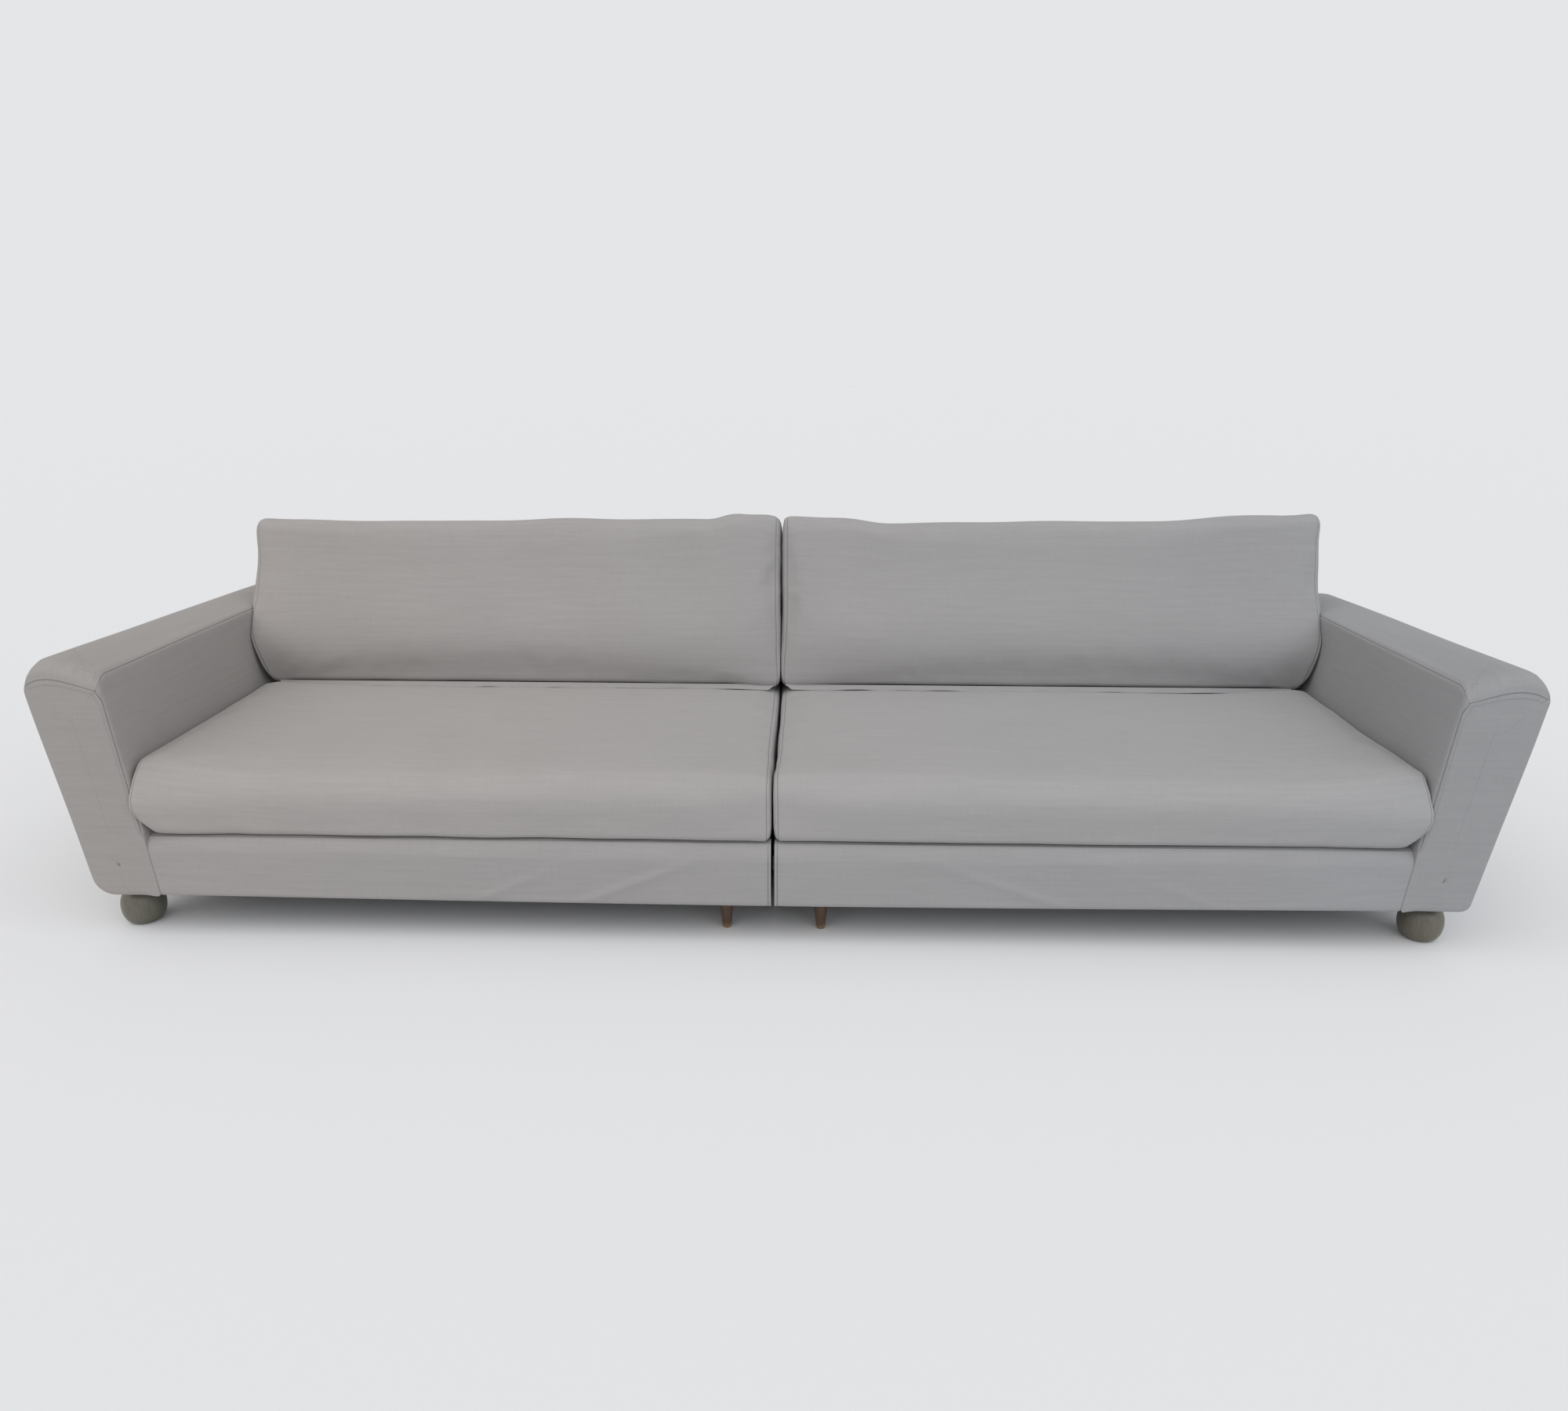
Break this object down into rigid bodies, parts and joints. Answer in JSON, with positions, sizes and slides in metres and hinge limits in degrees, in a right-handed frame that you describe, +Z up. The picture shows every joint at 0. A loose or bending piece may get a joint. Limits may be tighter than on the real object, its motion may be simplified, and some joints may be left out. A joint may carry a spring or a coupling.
{
  "type": "four-seater sofa",
  "caption": "Wide upholstered sofa in two hooked halves, with flared arms, a low back, loose seat and back cushions, round corner feet and peg feet near the middle.",
  "frame": {"origin": "on the floor under the middle of the sofa: the centre of the bottom of its box", "axes": "+X along the length, to the right as seen from the front; the front faces -Y; +Z up"},
  "size_m": [3.2092, 0.96, 0.8443],
  "materials": {
    "cover_fabric": "woven, matt, light greige",
    "black_cloth": "non-woven, matt",
    "platform_cloth": "felted, matt",
    "foam": "cut foam with wadding",
    "frame_timber": "planed softwood",
    "frame_plywood": "sawn plywood",
    "peg_wood": "dark brown stain, satin",
    "foot_wood": "olive-grey stain, satin",
    "spring_steel": "drawn wire, satin",
    "connector_steel": "zinc plated",
    "zip_metal": "antique nickel"
  },
  "bodies": {
    "left_half": {"arm_cover_left": "cover_fabric", "front_rail_cover_left": "cover_fabric", "back_cover_left": "cover_fabric", "end_lining_left": "black_cloth", "seat_deck_left": "platform_cloth", "dust_cover_left": "black_cloth", "front_rail_left": "frame_timber", "rear_rail_left": "frame_timber", "outer_end_rail_left": "frame_timber", "inner_end_panel_left": "frame_plywood", "leg_board_left": "frame_timber", "arm_base_board_left": "frame_timber", "arm_front_gable_left": "frame_plywood", "arm_rear_gable_left": "frame_plywood", "arm_top_board_left": "frame_timber", "back_post_outer_left": "frame_plywood", "back_top_rail_left": "frame_timber", "seat_springs_left": "spring_steel", "foot_outer_front_left": "foot_wood", "foot_outer_rear_left": "foot_wood", "foot_inner_front_left": "peg_wood", "foot_inner_rear_left": "peg_wood", "connector_front_left": "connector_steel", "connector_rear_left": "connector_steel"},
    "right_half": {"arm_cover_right": "cover_fabric", "front_rail_cover_right": "cover_fabric", "back_cover_right": "cover_fabric", "end_lining_right": "black_cloth", "seat_deck_right": "platform_cloth", "dust_cover_right": "black_cloth", "front_rail_right": "frame_timber", "rear_rail_right": "frame_timber", "outer_end_rail_right": "frame_timber", "inner_end_panel_right": "frame_plywood", "leg_board_right": "frame_timber", "arm_base_board_right": "frame_timber", "arm_front_gable_right": "frame_plywood", "arm_rear_gable_right": "frame_plywood", "arm_top_board_right": "frame_timber", "back_post_outer_right": "frame_plywood", "back_top_rail_right": "frame_timber", "seat_springs_right": "spring_steel", "foot_outer_front_right": "foot_wood", "foot_outer_rear_right": "foot_wood", "foot_inner_front_right": "peg_wood", "foot_inner_rear_right": "peg_wood", "connector_front_right": "connector_steel", "connector_rear_right": "connector_steel"},
    "seat_cushion_left": {"seat_cushion_cover_left": "cover_fabric", "seat_cushion_core_left": "foam"},
    "seat_cushion_right": {"seat_cushion_cover_right": "cover_fabric", "seat_cushion_core_right": "foam"},
    "back_cushion_left": {"back_cushion_cover_left": "cover_fabric", "back_cushion_core_left": "foam"},
    "back_cushion_right": {"back_cushion_cover_right": "cover_fabric", "back_cushion_core_right": "foam"},
    "seat_zip_left": {"seat_zip_slider_left": "zip_metal"},
    "seat_zip_right": {"seat_zip_slider_right": "zip_metal"},
    "back_zip_left": {"back_zip_slider_left": "zip_metal"},
    "back_zip_right": {"back_zip_slider_right": "zip_metal"}
  },
  "joints": [
    {"name": "halves_unhook", "type": "slide", "parent": "left_half", "child": "right_half", "axis": [0, 0, 1], "range_m": [0, 0.06]},
    {"name": "seat_cushion_left_lift", "type": "slide", "parent": "left_half", "child": "seat_cushion_left", "axis": [0, 0, 1], "range_m": [0, 0.35]},
    {"name": "seat_cushion_right_lift", "type": "slide", "parent": "right_half", "child": "seat_cushion_right", "axis": [0, 0, 1], "range_m": [0, 0.35]},
    {"name": "back_cushion_left_lift", "type": "slide", "parent": "seat_cushion_left", "child": "back_cushion_left", "axis": [0, 0, 1], "range_m": [0, 0.45]},
    {"name": "back_cushion_right_lift", "type": "slide", "parent": "seat_cushion_right", "child": "back_cushion_right", "axis": [0, 0, 1], "range_m": [0, 0.45]},
    {"name": "seat_zip_left_run", "type": "slide", "parent": "seat_cushion_left", "child": "seat_zip_left", "axis": [1, 0, 0], "range_m": [0, 1.15]},
    {"name": "seat_zip_right_run", "type": "slide", "parent": "seat_cushion_right", "child": "seat_zip_right", "axis": [-1, 0, 0], "range_m": [0, 1.15]},
    {"name": "back_zip_left_run", "type": "slide", "parent": "back_cushion_left", "child": "back_zip_left", "axis": [1, 0, 0], "range_m": [0, 1.15]},
    {"name": "back_zip_right_run", "type": "slide", "parent": "back_cushion_right", "child": "back_zip_right", "axis": [-1, 0, 0], "range_m": [0, 1.15]}
  ]
}
